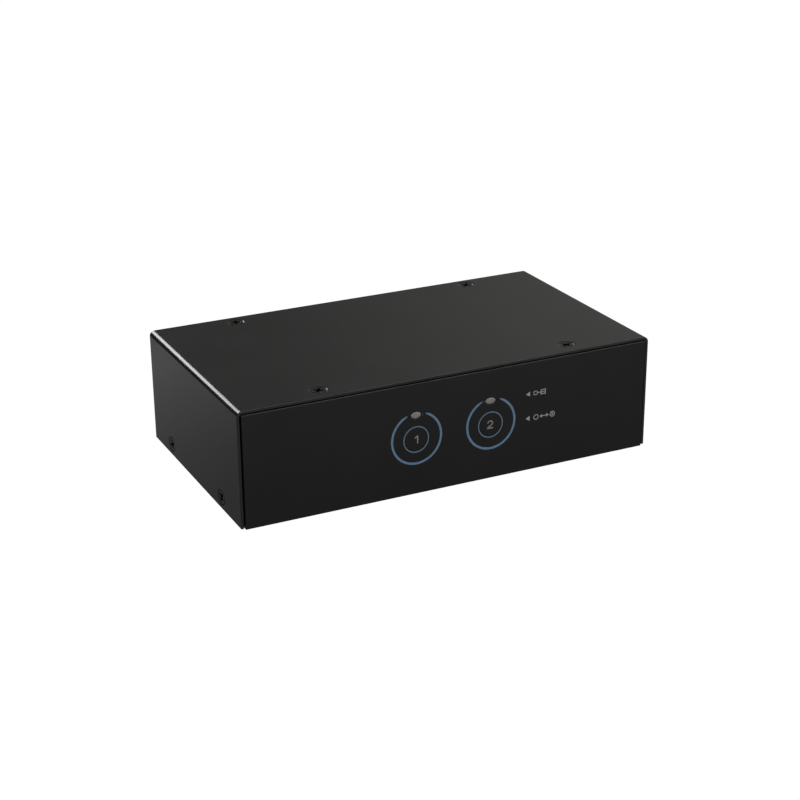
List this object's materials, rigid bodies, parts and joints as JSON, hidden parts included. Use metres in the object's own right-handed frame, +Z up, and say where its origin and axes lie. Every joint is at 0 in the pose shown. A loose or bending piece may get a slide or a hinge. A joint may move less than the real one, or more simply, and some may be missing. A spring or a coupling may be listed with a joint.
{
  "type": "kvm switch",
  "caption": "Low black sheet-steel box with rounded top edges, a flat front panel with two round push keys and light windows, and two tiers of sockets behind.",
  "frame": {"origin": "middle of the outer box at the underside of the feet", "axes": "+X to the right as seen from the front, +Y from the front panel towards the sockets, +Z up"},
  "size_m": [0.164, 0.0954, 0.046],
  "materials": {
    "cover_steel": "fine black powder coat",
    "base_steel": "fine black powder coat",
    "panel_black": "smooth satin black",
    "key_black": "smooth satin black",
    "screw_black": "black oxide",
    "foot_rubber": "matt black",
    "window_grey": "translucent grey",
    "lamp_white": "pale resin",
    "board_green": "green solder resist",
    "black_plastic": "moulded black",
    "chip_black": "moulded epoxy",
    "plated_brass": "nickel plated",
    "screw_steel": "zinc plated",
    "shell_steel": "bright tin plated",
    "ribbon_grey": "grey flat cable"
  },
  "bodies": {
    "case": {"top_cover": "cover_steel", "base_chassis": "base_steel", "front_panel": "panel_black", "top_screw_1": "screw_black", "side_screw_1": "screw_black", "foot_1": "foot_rubber", "middle_standoff_1": "plated_brass", "top_standoff_1": "plated_brass", "top_screw_2": "screw_black", "side_screw_2": "screw_black", "foot_2": "foot_rubber", "middle_standoff_2": "plated_brass", "top_standoff_2": "plated_brass", "top_screw_3": "screw_black", "side_screw_3": "screw_black", "foot_3": "foot_rubber", "middle_standoff_3": "plated_brass", "top_standoff_3": "plated_brass", "top_screw_4": "screw_black", "side_screw_4": "screw_black", "foot_4": "foot_rubber", "middle_standoff_4": "plated_brass", "top_standoff_4": "plated_brass", "tact_switch_1": "black_plastic", "light_pipe_1": "window_grey", "hub_lamp_1": "lamp_white", "key_board_screw_1": "screw_steel", "usb_b_1": "shell_steel", "usb_a_pair_1": "shell_steel", "video_in_1": "shell_steel", "audio_in_1": "black_plastic", "tact_switch_2": "black_plastic", "light_pipe_2": "window_grey", "hub_lamp_2": "lamp_white", "key_board_screw_2": "screw_steel", "usb_b_2": "shell_steel", "usb_a_pair_2": "shell_steel", "video_in_2": "shell_steel", "audio_in_2": "black_plastic", "video_out": "shell_steel", "audio_out": "black_plastic", "power_jack": "black_plastic", "jack_screw_1": "plated_brass", "jack_screw_2": "plated_brass", "jack_screw_3": "plated_brass", "jack_screw_4": "plated_brass", "jack_screw_5": "plated_brass", "jack_screw_6": "plated_brass", "key_board": "board_green", "main_board": "board_green", "console_board": "board_green", "key_ribbon": "ribbon_grey", "ribbon_header": "black_plastic", "board_link": "black_plastic", "switch_chip": "chip_black", "hub_chip": "chip_black"},
    "key_1": {"select_key_1": "key_black", "switch_plunger_1": "black_plastic"},
    "key_2": {"select_key_2": "key_black", "switch_plunger_2": "black_plastic"}
  },
  "joints": [
    {"name": "key_1_press", "type": "slide", "parent": "case", "child": "key_1", "axis": [0, 1, 0], "range_m": [0, 0.0003], "stiffness_N_per_m": 900, "springref_m": -0.0004},
    {"name": "key_2_press", "type": "slide", "parent": "case", "child": "key_2", "axis": [0, 1, 0], "range_m": [0, 0.0003], "stiffness_N_per_m": 900, "springref_m": -0.0004}
  ]
}
